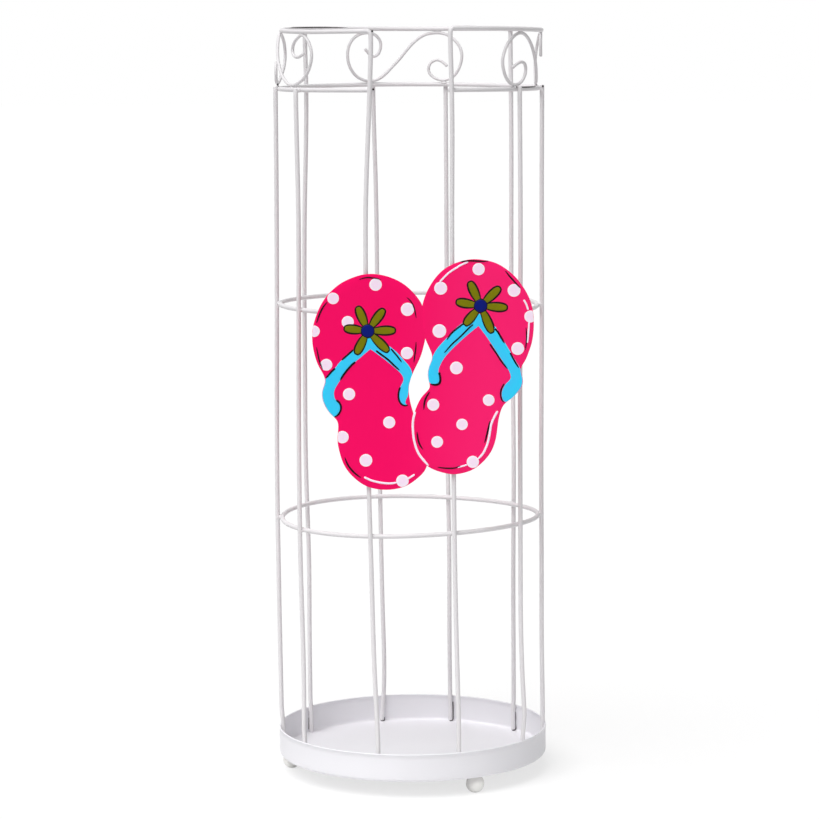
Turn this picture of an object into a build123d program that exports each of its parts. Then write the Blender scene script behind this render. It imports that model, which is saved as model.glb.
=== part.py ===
from build123d import *
import os
from math import acos, atan2, ceil, cos, degrees, radians, sin, sqrt

# Umbrella stand of welded steel wire, with a drip pan, ball feet and a flat cut-out panel.
# Lengths are in millimetres and angles in degrees. The origin is on the floor under the middle
# of the pan, +Z is up, and the open front of the rim faces -Y. An angle round the stand starts
# at the front and grows towards +X.

# Cage wires
wire_diameter = 4.0
wire_circle_radius = 116.5
weld_gap = 0.1
front_upright_angle = 17.9
back_upright_angle = 126.9
short_wire_angles = {
    "left_front_wire": -54.5,
    "left_side_wire": -90.0,
    "back_left_wire": -166.0,
    "back_right_wire": 162.5,
    "right_side_wire": 90.0,
    "right_front_wire": 54.5,
}

# Heights of the rings' centre lines above the floor
lower_hoop_height = 228.0
upper_hoop_height = 417.5
rim_height = 659.0
rim_bend_radius = 6.0
band_below_rim = 50.0

# S-scrolls between the band and the rim
scroll_wire_diameter = 2.8
scroll_loop_gap = 21.6
curl_radius = 9.5
curl_past_top = 40.0
curl_tail_length = 7.0
back_scroll_offset = 1.5
widest_turn = 60.0

# Drip pan
sheet_thickness = 0.8
pan_depth = 24.7
pan_corner_radius = 3.0

# Ball feet, cut flat under the pan and where they meet the floor
foot_height = 15.0
foot_diameter = 16.0
foot_floor_cut = 0.4
foot_inset = 10.4
foot_angles = {
    "left_foot": -90.0,
    "front_right_foot": 30.0,
    "back_right_foot": 150.0,
}

# Panel: a pair of sandals cut from one sheet. Each outline is a smooth closed line through points
# that give the distance to the right of the middle and the height above the upper hoop.
panel_thickness = 1.2
left_sole_outline = [
    (-33.0, 36.9), (-42.1, 35.8), (-50.5, 33.0), (-58.5, 29.0), (-65.5, 23.5), (-71.5, 17.0),
    (-76.3, 9.3), (-79.8, 1.0), (-82.2, -7.3), (-83.1, -16.1), (-82.5, -24.9), (-80.7, -33.4),
    (-77.7, -41.5), (-73.9, -48.5), (-72.6, -54.0), (-74.6, -61.0), (-75.1, -68.0),
    (-72.6, -75.6), (-67.5, -82.8), (-62.6, -88.3), (-61.9, -96.0), (-62.4, -106.0),
    (-60.7, -115.5), (-57.7, -124.8), (-52.8, -132.7), (-46.3, -139.2), (-38.7, -144.2),
    (-30.0, -146.9), (-20.9, -147.7), (-11.7, -146.7), (-2.8, -143.6), (5.4, -137.9),
    (12.0, -130.6), (14.0, -118.0), (7.5, -97.0), (1.6, -80.0), (-1.2, -68.0), (-1.6, -61.0),
    (0.3, -52.2), (3.4, -44.7), (8.0, -35.2), (11.5, -24.0), (13.6, -10.0), (12.4, 2.0),
    (9.8, 11.0), (5.8, 17.2), (0.2, 23.5), (-7.3, 29.4), (-15.4, 33.4), (-24.2, 36.0),
]
right_sole_outline = [
    (52.3, 48.6), (41.4, 46.4), (30.9, 41.7), (22.0, 33.6), (16.1, 24.8), (11.9, 15.3),
    (9.6, 4.0), (10.2, -8.0), (13.0, -19.0), (16.4, -27.0), (18.4, -34.5), (16.3, -41.0),
    (14.7, -48.0), (15.4, -54.6), (16.2, -59.6), (11.6, -65.7), (6.3, -73.5), (2.8, -83.0),
    (1.5, -94.0), (3.3, -107.0), (7.0, -117.0), (12.6, -126.4), (19.6, -130.8), (27.8, -133.5),
    (36.2, -134.8), (44.0, -133.8), (52.0, -131.1), (58.6, -126.6), (64.5, -120.7),
    (69.0, -113.8), (71.8, -106.0), (73.3, -97.6), (74.3, -89.8), (76.2, -81.5), (79.2, -75.4),
    (84.0, -71.2), (90.6, -65.2), (94.9, -58.5), (94.8, -51.0), (93.6, -45.6), (97.2, -38.0),
    (100.2, -31.0), (102.5, -24.3), (104.3, -14.4), (104.7, -4.1), (103.6, 6.4), (100.6, 16.1),
    (95.6, 25.1), (89.4, 33.2), (81.7, 40.0), (72.9, 45.2), (62.8, 47.9),
]

# Sizes that follow from the ones above
wire_radius = wire_diameter / 2
lap = wire_diameter + weld_gap
ring_radius = wire_circle_radius - lap
pan_inner_radius = wire_circle_radius + wire_radius + weld_gap
pan_outer_radius = pan_inner_radius + sheet_thickness
pan_floor = foot_height + sheet_thickness
pan_rim = foot_height + pan_depth
band_height = rim_height - band_below_rim


def around(angle, radius, height=0.0):
    # Point at an angle round the stand, at a radius from its axis
    turn = radians(angle)
    return Vector(radius * sin(turn), -radius * cos(turn), height)


def round_bar(path, diameter):
    # Round wire that follows a path
    start = Plane(origin=path @ 0, z_dir=path % 0)
    return sweep(start * Circle(diameter / 2), path=path)


# Drip pan: a turned dish with a rounded lower corner
def pan_dish(radius, bottom, top, corner):
    blank = Pos(0, 0, bottom) * Cylinder(
        radius, top - bottom, align=(Align.CENTER, Align.CENTER, Align.MIN)
    )
    return fillet(blank.edges().sort_by(Axis.Z)[0], corner)


def pan_hollow(clearance):
    # The inside of the pan, drawn in by a clearance and running out past the rim
    corner = pan_corner_radius - sheet_thickness - clearance
    past_rim = pan_rim + sheet_thickness
    return pan_dish(pan_inner_radius - clearance, pan_floor + clearance, past_rim, corner)


pan_blank = pan_dish(pan_outer_radius, foot_height, pan_rim, pan_corner_radius)
drip_pan = pan_blank - pan_hollow(0)
# Wire ends are coped to the pan's corner, half a weld gap from its sheet
pan_surround = Pos(0, 0, foot_height) * Cylinder(
    pan_outer_radius + wire_diameter, pan_depth, align=(Align.CENTER, Align.CENTER, Align.MIN)
)
pan_cope = pan_surround - pan_hollow(weld_gap / 2)


# Straight wires that stand in the pan
def standing_wire(angle, top):
    bar = Cylinder(wire_radius, top - pan_floor, align=(Align.CENTER, Align.CENTER, Align.MIN))
    return Pos(around(angle, wire_circle_radius, pan_floor)) * bar - pan_cope


short_wire_top = band_height + wire_radius
upright_top = rim_height + wire_radius
short_wires = {}
for name, angle in short_wire_angles.items():
    short_wires[name] = standing_wire(angle, short_wire_top)
back_left_upright = standing_wire(-back_upright_angle, upright_top)
back_right_upright = standing_wire(back_upright_angle, upright_top)


# Rim wire: two front uprights that bend over into a ring. The ring is a circle that carries on
# from both bends and runs just inside both back uprights. Its centre lies on the Y axis, where
# the two conditions leave a quadratic for centre_y.
front_x = wire_circle_radius * sin(radians(front_upright_angle))
front_y = wire_circle_radius * cos(radians(front_upright_angle))
back_y = -wire_circle_radius * cos(radians(back_upright_angle))
depth = front_y + back_y
lap_less_bend = lap**2 - rim_bend_radius**2
square_term = 4 * (depth**2 - lap**2)
linear_term = 4 * depth * lap_less_bend - 8 * lap**2 * front_y
plain_term = lap_less_bend**2 - 4 * lap**2 * (wire_circle_radius**2 - rim_bend_radius**2)
root = sqrt(linear_term**2 - 4 * square_term * plain_term)
rim_centre_y = (-linear_term - root) / (2 * square_term)
rim_ring_radius = -(2 * rim_centre_y * depth + lap_less_bend) / (2 * lap)
rim_centre = Vector(0, rim_centre_y, 0)
rim_start_angle = degrees(
    atan2(front_x, front_y + rim_centre_y) + atan2(rim_bend_radius, rim_ring_radius)
)

bend_height = rim_height - rim_bend_radius
left_leg = around(-front_upright_angle, wire_circle_radius, bend_height)
right_leg = around(front_upright_angle, wire_circle_radius, bend_height)
ring_start = rim_centre + around(-rim_start_angle, rim_ring_radius, rim_height)
ring_back = rim_centre + around(180, rim_ring_radius, rim_height)
ring_end = rim_centre + around(rim_start_angle, rim_ring_radius, rim_height)
rim_ring = ThreePointArc(ring_start, ring_back, ring_end)
rim_path = Wire([
    Line(Vector(left_leg.X, left_leg.Y, pan_floor), left_leg),
    TangentArc(left_leg, ring_start, tangent=(0, 0, 1)),
    rim_ring,
    TangentArc(ring_end, right_leg, tangent=rim_ring % 1),
    Line(right_leg, Vector(right_leg.X, right_leg.Y, pan_floor)),
])
rim_wire = round_bar(rim_path, wire_diameter) - pan_cope


# Band ring: open at the front, with its ends behind the front uprights
band_end_angle = front_upright_angle - degrees(wire_radius / ring_radius)
band_path = ThreePointArc(
    around(-band_end_angle, ring_radius, band_height),
    around(180, ring_radius, band_height),
    around(band_end_angle, ring_radius, band_height),
)
band_ring = round_bar(band_path, wire_diameter)

# Hoops: full rings inside the uprights
upper_hoop = Pos(0, 0, upper_hoop_height) * Torus(ring_radius, wire_radius)
lower_hoop = Pos(0, 0, lower_hoop_height) * Torus(ring_radius, wire_radius)


# Scrolls. Each is drawn flat, as seen from outside: u runs to the right and v up from its middle.
# It is then bent round the stand.
space_for_scroll = band_below_rim - wire_diameter - 2 * weld_gap
loop_radius = (space_for_scroll - scroll_wire_diameter) / 2
loop_centre = loop_radius + scroll_loop_gap / 2
scroll_height = (rim_height + band_height) / 2


def arc_stations(centre_u, centre_v, radius, first, last):
    # Points and directions along a left-hand arc, without its first point
    count = ceil((last - first) / widest_turn)
    stations = []
    for step in range(1, count + 1):
        turn = radians(first + (last - first) * step / count)
        point = (centre_u + radius * cos(turn), centre_v + radius * sin(turn))
        stations.append((point, (-sin(turn), cos(turn))))
    return stations


def half_scroll():
    # From the middle, up the slope, round the left loop, into the curl and out along its tail
    slope = degrees(acos(loop_radius / loop_centre))
    away = (-sin(radians(slope)), cos(radians(slope)))
    touch = (-loop_centre + loop_radius * cos(radians(slope)), loop_radius * sin(radians(slope)))
    stations = [((0, 0), away), (touch, away)]
    stations += arc_stations(-loop_centre, 0, loop_radius, slope, 270)
    curl_centre_v = curl_radius - loop_radius
    stations += arc_stations(-loop_centre, curl_centre_v, curl_radius, -90, 90 + curl_past_top)
    (last_u, last_v), (way_u, way_v) = stations[-1]
    tail_end = (last_u + curl_tail_length * way_u, last_v + curl_tail_length * way_v)
    return stations + [(tail_end, (way_u, way_v))]


def biarc(start, start_way, end, end_way):
    # Two arcs that leave one way, arrive another way and meet smoothly
    chord = end - start
    along = chord.dot(start_way + end_way)
    bend = 2 * (1 - start_way.dot(end_way))
    reach = chord.dot(chord) / (along + sqrt(along**2 + bend * chord.dot(chord)))
    join = (start + start_way * reach + end - end_way * reach) / 2
    first = TangentArc(start, join, tangent=start_way)
    return [first, TangentArc(join, end, tangent=first % 1)]


def scroll(middle_angle):
    # The rim ring isn't quite round the axis, so a scroll stands halfway between it and the band
    towards_rim = rim_centre.dot(around(middle_angle, 1))
    bent_radius = (ring_radius + rim_ring_radius + towards_rim) / 2
    left_half = half_scroll()
    back_to_middle = [(point, (-way[0], -way[1])) for point, way in reversed(left_half)]
    right_half = [((-u, -v), (-way[0], -way[1])) for (u, v), way in left_half[1:]]
    flat = back_to_middle + right_half
    bent = []
    for (u, v), (way_u, way_v) in flat:
        angle = middle_angle + degrees(u / bent_radius)
        turn = radians(angle)
        point = around(angle, bent_radius, scroll_height + v)
        bent.append((point, Vector(way_u * cos(turn), way_u * sin(turn), way_v)))
    edges = []
    for (start, start_way), (end, end_way) in zip(bent, bent[1:]):
        edges += biarc(start, start_way, end, end_way)
    return round_bar(Wire(edges), scroll_wire_diameter)


side_bay_middle = (front_upright_angle + back_upright_angle) / 2
left_scroll = scroll(-side_bay_middle)
right_scroll = scroll(side_bay_middle)
back_scroll = scroll(180 + back_scroll_offset)


# Ball feet
def ball_foot(angle):
    radius = foot_diameter / 2
    centre = around(angle, pan_outer_radius - foot_inset, radius - foot_floor_cut)
    slab_height = foot_height - weld_gap
    slab = Pos(centre.X, centre.Y, slab_height / 2) * Box(foot_diameter, foot_diameter, slab_height)
    return Pos(centre) * Sphere(radius) & slab


feet = {}
for name, angle in foot_angles.items():
    feet[name] = ball_foot(angle)


# Panel: two overlapping soles in one sheet, flat against the front of the upper hoop
def sole(outline):
    points = [(x, upper_hoop_height + rise) for x, rise in outline]
    return make_face(Spline(*points, periodic=True))


panel_back = ring_radius + wire_radius + weld_gap
panel_face = Plane.XZ.offset(panel_back) * (sole(left_sole_outline) + sole(right_sole_outline))
sandal_panel = extrude(panel_face, panel_thickness, dir=(0, -1, 0))


nodes = {
    "rim_wire": rim_wire,
    "band_ring": band_ring,
    "upper_hoop": upper_hoop,
    "lower_hoop": lower_hoop,
    "back_left_upright": back_left_upright,
    "back_right_upright": back_right_upright,
    **short_wires,
    "left_scroll": left_scroll,
    "back_scroll": back_scroll,
    "right_scroll": right_scroll,
    "drip_pan": drip_pan,
    **feet,
    "sandal_panel": sandal_panel,
}

os.makedirs("parts", exist_ok=True)
for name, solid in nodes.items():
    export_step(solid, f"parts/{name}.step")
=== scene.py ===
import bpy
import numpy as np
from mathutils import Matrix, Vector


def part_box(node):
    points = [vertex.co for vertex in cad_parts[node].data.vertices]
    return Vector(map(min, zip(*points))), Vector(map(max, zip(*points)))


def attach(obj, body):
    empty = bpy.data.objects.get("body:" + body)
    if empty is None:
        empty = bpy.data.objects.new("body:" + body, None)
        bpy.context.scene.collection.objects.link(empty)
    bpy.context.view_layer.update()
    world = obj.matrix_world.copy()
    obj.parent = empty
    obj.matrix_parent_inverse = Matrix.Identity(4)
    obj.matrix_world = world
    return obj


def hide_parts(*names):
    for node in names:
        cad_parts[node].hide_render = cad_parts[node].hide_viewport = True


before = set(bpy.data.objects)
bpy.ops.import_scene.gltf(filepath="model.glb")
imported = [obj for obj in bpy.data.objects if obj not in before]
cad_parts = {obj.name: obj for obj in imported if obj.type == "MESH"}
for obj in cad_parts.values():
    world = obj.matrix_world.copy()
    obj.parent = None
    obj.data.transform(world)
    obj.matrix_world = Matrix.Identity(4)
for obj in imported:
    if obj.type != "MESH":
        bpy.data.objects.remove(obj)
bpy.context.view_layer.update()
mm = 0.001
print("frame loaded with", len(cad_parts), "nodes")

# the view, found from the ring ellipses and the wires: lengths in mm, angles in degrees
camera = {
    "place": (-18.7, -2723.2, 674.4),
    "pitch": 7.336,
    "yaw": 0.387,
    "roll": -0.41,
    "focalPixels": 3095.4,
    "imagePixels": 819,
    "sensor": 36.0,
    "clipEnd": 50.0,     # metres
}


def addCamera():
    # forward from yaw and pitch, then right and up turned about it by the roll
    pitch, yaw, roll = np.radians([camera["pitch"], camera["yaw"], camera["roll"]])
    forward = np.array([np.sin(yaw) * np.cos(pitch), np.cos(yaw) * np.cos(pitch), -np.sin(pitch)])
    level = np.array([np.cos(yaw), -np.sin(yaw), 0.0])
    above = np.cross(level, forward)
    right = np.cos(roll) * level + np.sin(roll) * above
    up = np.cos(roll) * above - np.sin(roll) * level
    turn = Matrix(np.stack([right, up, -forward], 1).tolist()).to_4x4()
    data = bpy.data.cameras.new("photoCamera")
    data.sensor_width = camera["sensor"]
    data.lens = camera["focalPixels"] / camera["imagePixels"] * camera["sensor"]
    data.clip_end = camera["clipEnd"]
    holder = bpy.data.objects.new("photoCamera", data)
    holder.matrix_world = Matrix.Translation(Vector(camera["place"]) * mm) @ turn
    bpy.context.collection.objects.link(holder)
    bpy.context.scene.camera = holder


addCamera()
print("camera set")


class Signal:
    # a shader socket whose sums add Math nodes; node() adds any other kind of node
    def __init__(self, tree, socket=None):
        self.tree = tree
        self.socket = socket

    def node(self, kind, settings=None, inputs=None, out=0):
        made = self.tree.nodes.new(kind)
        for key, value in (settings or {}).items():
            setattr(made, key, value)
        for key, value in (inputs or {}).items():
            if isinstance(value, Signal):
                self.tree.links.new(value.socket, made.inputs[key])
            else:
                made.inputs[key].default_value = value
        return Signal(self.tree, made.outputs[out] if len(made.outputs) else None)

    def maths(self, operation, first, second):
        return self.node("ShaderNodeMath", {"operation": operation}, {0: first, 1: second})

    def __add__(self, other):
        return self.maths("ADD", self, other)

    def __radd__(self, other):
        return self.maths("ADD", other, self)

    def __sub__(self, other):
        return self.maths("SUBTRACT", self, other)

    def __rsub__(self, other):
        return self.maths("SUBTRACT", other, self)

    def __mul__(self, other):
        return self.maths("MULTIPLY", self, other)

    def __rmul__(self, other):
        return self.maths("MULTIPLY", other, self)


def linear(red, green, blue):
    # screen colour of 0 to 255 as the light value that shaders take, by the standard screen curve
    c = np.array([red, green, blue]) / 255.0
    return tuple(np.where(c <= 0.04045, c / 12.92, ((c + 0.055) / 1.055) ** 2.4)) + (1.0,)


def newTree(name):
    material = bpy.data.materials.new(name)
    material.use_nodes = True
    material.node_tree.nodes.clear()
    return material, Signal(material.node_tree)


def noise(tools, coords, scale, detail=2.0):
    return tools.node("ShaderNodeTexNoise", {}, {"Vector": coords, "Scale": scale, "Detail": detail})


def blendColour(tools, share, first, second):
    return tools.node("ShaderNodeMix", {"data_type": "RGBA"}, {0: share, 6: first, 7: second}, 2)


def eased(tools, value, ends):
    # nought below the first end and one above the second, with a smooth step between them
    return tools.node("ShaderNodeMapRange", {"interpolation_type": "SMOOTHSTEP"},
                      {"Value": value, "From Min": ends[0], "From Max": ends[1]})


noiseMiddle = 0.5     # what a noise gives on average


def coat(pale, dull, cloudScale=14.0, cloudDetail=3.0, peelScale=520.0, peelHeight=0.00004, peelStrength=0.5,
         roughness=0.42, roughnessDrift=0.2, specular=0.35):
    # scales are per metre: clouds are the broad drift of tone, peel is the orange peel of the sprayed coat
    return dict(pale=linear(*pale), dull=linear(*dull), cloudScale=cloudScale, cloudDetail=cloudDetail,
                peelScale=peelScale, reliefHeight=peelHeight, reliefStrength=peelStrength,
                roughness=roughness, roughnessDrift=roughnessDrift, specular=specular)


def enamel(first, second, far=None, sheenBetween=(-0.02, 0.07), comb=(40.0, 1.0, 8.0), streakScale=12.0,
           streakDetail=3.0, shadeShare=0.6, streakShare=0.7, brushHeight=0.0001, brushStrength=0.35,
           roughness=0.45, roughnessDrift=0.12, specular=0.12):
    # brush streaks are a noise that is combed, so drawn out, along one direction
    # far is the colour of a painted sheen that comes in towards the right
    return dict(first=linear(*first), second=linear(*second), far=linear(*far) if far else None,
                sheenBetween=sheenBetween, comb=comb, streakScale=streakScale, streakDetail=streakDetail,
                shadeShare=shadeShare, streakShare=streakShare, reliefHeight=brushHeight,
                reliefStrength=brushStrength, roughness=roughness, roughnessDrift=roughnessDrift,
                specular=specular)


coats = {
    # dark coat of the painted shade beside the wires, at welds and along two rings
    "paintedShade": coat((74, 70, 70), (40, 38, 40), cloudScale=200.0, peelScale=620.0, peelHeight=0.0001,
                    roughness=0.7, roughnessDrift=0.1, specular=0.1),
    "wire": coat((231, 229, 231), (222, 219, 221), cloudScale=9.0, peelScale=620.0, peelHeight=0.00003,
                 roughness=0.4, roughnessDrift=0.16, specular=0.2),
    "pan": coat((236, 235, 239), (229, 228, 232)),
    "ball": coat((244, 243, 240), (238, 237, 233), roughness=0.24, specular=0.6),
}
paints = {
    # the pink's far colour is a painted sheen, lighter towards the right
    "pink": enamel((252, 0, 100), (246, 0, 95), far=(254, 30, 112)),
    "dot": enamel((255, 246, 255), (250, 214, 244), streakShare=0.3),
    "strap": enamel((50, 212, 255), (70, 198, 252), comb=(8.0, 1.0, 8.0), streakScale=30.0),
    "petal": enamel((126, 124, 0), (104, 106, 0), comb=(20.0, 1.0, 20.0), streakScale=20.0),
    "navy": enamel((0, 20, 116), (0, 10, 84)),
    "black": enamel((4, 0, 4), (24, 0, 12), streakShare=0.5),
    "white": enamel((255, 244, 255), (255, 226, 250), streakShare=0.5),
}


def finishSurface(tools, settings, colour, drift, relief):
    # roughness drifts with one noise, and another gives the relief
    bump = tools.node("ShaderNodeBump", {}, {
        "Strength": settings["reliefStrength"],
        "Distance": settings["reliefHeight"],
        "Height": relief,
    })
    surface = tools.node("ShaderNodeBsdfPrincipled", {}, {
        "Base Color": colour,
        "Roughness": settings["roughness"] + (drift - noiseMiddle) * settings["roughnessDrift"],
        "Specular IOR Level": settings["specular"],
        "Normal": bump,
    })
    tools.node("ShaderNodeOutputMaterial", {}, {"Surface": surface})


def coatMaterial(name):
    # tone drifts with broad noise, fine noise gives the coat's orange peel
    settings = coats[name]
    material, tools = newTree(name + "Coat")
    coords = tools.node("ShaderNodeTexCoord", {}, {}, "Object")
    cloud = noise(tools, coords, settings["cloudScale"], settings["cloudDetail"])
    peel = noise(tools, coords, settings["peelScale"])
    colour = blendColour(tools, cloud, settings["pale"], settings["dull"])
    finishSurface(tools, settings, colour, cloud, peel)
    return material


def enamelMaterial(name):
    # brush streaks run along one direction, a shade attribute moves from the first colour to the second,
    # and a far colour, where there is one, is a painted sheen that comes in towards the right
    settings = paints[name]
    material, tools = newTree(name + "Enamel")
    coords = tools.node("ShaderNodeTexCoord", {}, {}, "Object")
    combed = tools.node("ShaderNodeVectorMath", {"operation": "MULTIPLY"}, {0: coords, 1: settings["comb"]})
    streak = noise(tools, combed, settings["streakScale"], settings["streakDetail"])
    shade = tools.node("ShaderNodeAttribute", {"attribute_name": "shade"}, {}, "Fac")
    share = shade * settings["shadeShare"] + (streak - noiseMiddle) * settings["streakShare"]
    colour = blendColour(tools, share, settings["first"], settings["second"])
    if settings["far"]:
        # painted sheen: the far colour comes in towards the right
        sideways = tools.node("ShaderNodeSeparateXYZ", {}, {0: coords}, "X")
        colour = blendColour(tools, eased(tools, sideways, settings["sheenBetween"]), colour, settings["far"])
    finishSurface(tools, settings, colour, streak, streak)
    return material


# each finish is a material and the slot that it belongs to
finishes = {name: (coatMaterial(name), "white_coat") for name in coats}
finishes |= {name: (enamelMaterial(name), "panel_paint") for name in paints}
print("materials made")


def spline(points, count, closed):
    # cubic through the points with knots a chord apart, its second derivatives solved at the knots
    p = np.array(points, float)
    if closed:
        p = np.vstack([p, p[:1]])
    h = np.linalg.norm(np.diff(p, axis=0), axis=1)
    knots = np.concatenate([[0.0], np.cumsum(h)])
    n = len(p)
    slope = np.diff(p, axis=0) / h[:, None]
    terms, ends = np.zeros((n, n)), np.zeros_like(p)
    i = np.arange(1, n - 1)
    terms[i, i - 1], terms[i, i], terms[i, i + 1] = h[:-1], 2 * (h[:-1] + h[1:]), h[1:]
    ends[1:-1] = 6 * np.diff(slope, axis=0)
    terms[0, 0] = terms[-1, -1] = 1.0
    if closed:
        terms[0, -1] = -1.0
        terms[-1, 0], terms[-1, 1], terms[-1, -2], terms[-1, -1] = 2 * h[0], h[0], h[-1], 2 * h[-1]
        ends[-1] = 6 * (slope[0] - slope[-1])
    bend = np.linalg.solve(terms, ends)
    t = np.linspace(0, knots[-1], count, endpoint=not closed)
    k = np.clip(np.searchsorted(knots, t, side="right") - 1, 0, n - 2)
    w, r, s = h[k][:, None], (knots[k + 1] - t)[:, None], (t - knots[k])[:, None]
    return ((bend[k] * r ** 3 + bend[k + 1] * s ** 3) / (6 * w) + (p[k] / w - bend[k] * w / 6) * r
            + (p[k + 1] / w - bend[k + 1] * w / 6) * s)


def unit(vectors):
    # the same directions at a length of one
    return vectors / np.linalg.norm(vectors, axis=-1, keepdims=True)


def circle(count):
    # points once round, at a distance of one
    turn = np.linspace(0, 2 * np.pi, count, endpoint=False)
    return np.stack([np.cos(turn), np.sin(turn)], 1)


def gridShell(points, wrapRows=False, wrapColumns=False, caps=(), shade=None):
    # quads between neighbours of a grid of points, with flat caps on the named rows, faces turned outward
    rows, columns = points.shape[:2]
    r, c = np.indices((rows - (not wrapRows), columns - (not wrapColumns)))
    r2, c2 = (r + 1) % rows, (c + 1) % columns
    loop = [r * columns + c, r * columns + c2, r2 * columns + c2, r2 * columns + c]
    quads = np.stack(loop, -1).reshape(-1, 4)
    flat = points.reshape(-1, 3)
    lids = [[(row % rows) * columns + j for j in range(columns)] for row in caps]
    lids = [lid[::-1] if row % rows == 0 else lid for row, lid in zip(caps, lids)]
    corner = flat[quads] - flat.mean(0)
    volume = np.einsum("ij,ij->i", corner[:, 0], np.cross(corner[:, 1], corner[:, 2])).sum()
    volume += np.einsum("ij,ij->i", corner[:, 0], np.cross(corner[:, 2], corner[:, 3])).sum()
    if volume < 0:
        quads, lids = quads[:, ::-1], [lid[::-1] for lid in lids]
    tone = np.zeros(len(flat)) if shade is None else np.broadcast_to(shade, (rows, columns)).ravel()
    return {"points": flat, "faces": quads.tolist() + lids, "shade": tone}


def capped(points):
    # rows that run once round, with a flat cap on the first and the last
    return gridShell(points, False, True, (0, -1))


def addPiece(name, shells, finish, nodes=()):
    # one mesh of all the shells, in metres, with their shade kept at the points
    material, slotName = finishes[finish]
    points = np.concatenate([shell["points"] for shell in shells]) * mm
    starts = np.cumsum([0] + [len(shell["points"]) for shell in shells])
    faces = [[i + int(start) for i in face]
             for shell, start in zip(shells, starts) for face in shell["faces"]]
    mesh = bpy.data.meshes.new(name)
    mesh.from_pydata(points.tolist(), [], faces)
    mesh.polygons.foreach_set("use_smooth", np.ones(len(mesh.polygons), bool))
    tone = mesh.attributes.new("shade", "FLOAT", "POINT")
    tone.data.foreach_set("value", np.concatenate([shell["shade"] for shell in shells]).astype(np.float32))
    mesh.materials.append(material)
    mesh.update()
    thing = bpy.data.objects.new(name, mesh)
    bpy.context.collection.objects.link(thing)
    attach(thing, "root")
    if nodes:
        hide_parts(*nodes)
    return thing


cutEnds = {"tilts": (72.0, 48.0, 24.0), "reach": 0.45}     # degrees of the rounding, and its depth in radii


def tube(path, outward, radius, sides, closed=False):
    # circle of one radius, or of one for each point, carried along the path and softened to a small flat cap
    # at each cut end
    along = unit(np.roll(path, -1, 0) - np.roll(path, 1, 0) if closed else np.gradient(path, axis=0))
    radii = np.full(len(path), 1.0) * radius
    if not closed:
        tilt = np.radians(cutEnds["tilts"])
        reach, small, more = cutEnds["reach"] * np.sin(tilt)[:, None], np.cos(tilt), len(tilt)
        path = np.vstack([path[0] - along[0] * reach * radii[0], path,
                          path[-1] + along[-1] * reach[::-1] * radii[-1]])
        radii = np.concatenate([small * radii[0], radii, small[::-1] * radii[-1]])
        along, outward = (np.vstack([a[:1].repeat(more, 0), a, a[-1:].repeat(more, 0)])
                          for a in (along, outward))
    out = unit(outward - (outward * along).sum(1, keepdims=True) * along)
    side = np.cross(along, out)
    ring = circle(sides)
    section = ring[:, :1] * out[:, None] + ring[:, 1:] * side[:, None]
    return gridShell(path[:, None] + radii[:, None, None] * section, closed, True, () if closed else (0, -1))


def around(radius, degrees, height):
    # point on an upright cylinder, the angle counted from the front towards +X
    a = np.radians(degrees)
    return np.stack(np.broadcast_arrays(radius * np.sin(a), -radius * np.cos(a), height), -1).astype(float)


upward = np.array([0.0, 0.0, 1.0])


def fromAxis(points):
    # the level part of each point's distance from the upright axis
    return points * (1 - upward)


def atHeight(path, height):
    return path[np.argmin(abs(path[:, 2] - height))]


def boxOf(node):
    # lowest and highest corner of a solid in mm
    low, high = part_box(node)
    return np.array(low) / mm, np.array(high) / mm


# the drip pan of pressed sheet, lengths in mm
pan = {
    "thickness": 0.8,
    "corner": 3.0,
    "cornerSteps": 13,
    "hem": 0.75,               # radius of the rolled edge
    "hemInset": 0.1,
    "roll": (-50, 220),        # degrees that the edge is rolled through
    "rollSteps": 16,
    "ripple": 0.12,            # mm of waviness in the pressed wall
    "waves": ((3, 40, 1.0), (7, 0, 0.6)),     # waves around, start in degrees and share of the ripple
    "around": 180,
    "cap": 6.0,                # radius of the flat middle
    "floorSteps": 9,
    "wallSteps": 6,
    "shift": np.array([0.7, 0.0, 0.0]),       # the pan sits a little to the right
}
wireRadius = (boxOf("lower_hoop")[1][2] - boxOf("lower_hoop")[0][2]) / 2
panWall = boxOf("drip_pan")[1][0] - pan["thickness"]


def drawnIn(points, room):
    # points further than the room from the pan's axis are drawn back to it
    away = fromAxis(points - pan["shift"])
    share = np.minimum(room / np.linalg.norm(away, axis=1), 1.0)
    return fromAxis(pan["shift"] + away * share[:, None]) + points * upward


# the wires of the cage, their hand-bent leans as sideways mm at ten heights
cage = {
    "sides": 18,
    "steps": 90,
    "leanHeights": (18, 42, 110, 180, 260, 340, 430, 510, 600, 645),
    "leans": {
        "left_side_wire": (-0.5, -0.5, -1.1, -1.6, -1.9, -1.2, -0.1, 0.6, 0.9, 0.9),
        "left_front_wire": (-0.6, -0.4, -0.1, -1.4, -2, -1.6, -0.6, -0.1, -1.1, -1.1),
        "back_left_upright": (0.2, 0.2, 0.1, 0.3, -1.4, -1.4, -1, 0.4, 2.6, 2),
        "back_left_wire": (0.7, 2.6, 2.6, 1.4, 0.6, 0, -0.3, -0.7, -2.4, -2.4),
        "back_right_wire": (1.9, 1.5, 1.2, 1.3, 0.4, 0.3, 0.4, 0.5, 0.4, 0.4),
        "back_right_upright": (0.8, 1, 1, 1.1, 1.7, 1, 0, 0.2, 0.2, -0.2),
        "right_front_wire": (4, 3.8, 1, 0.1, 0.1, 0.1, 0.6, 0.8, 0.5, 0.5),
        "right_side_wire": (1, 1, 0.2, 0.2, 0, 0.3, 0.8, 0.8, 1.2, 1.2),
    },
    "leanSteps": 200,
    "endLift": 0.3,                            # mm that the middle lines start above the ends of their solids
    "topCut": {"wire": 2.0, "upright": 3.4},   # mm that each kind of wire ends below its solid
    "wallGap": 0.3,                            # mm left to the wall of the pan
    "spread": 0.1,                             # mm more room for each mm above the pan
}


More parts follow.
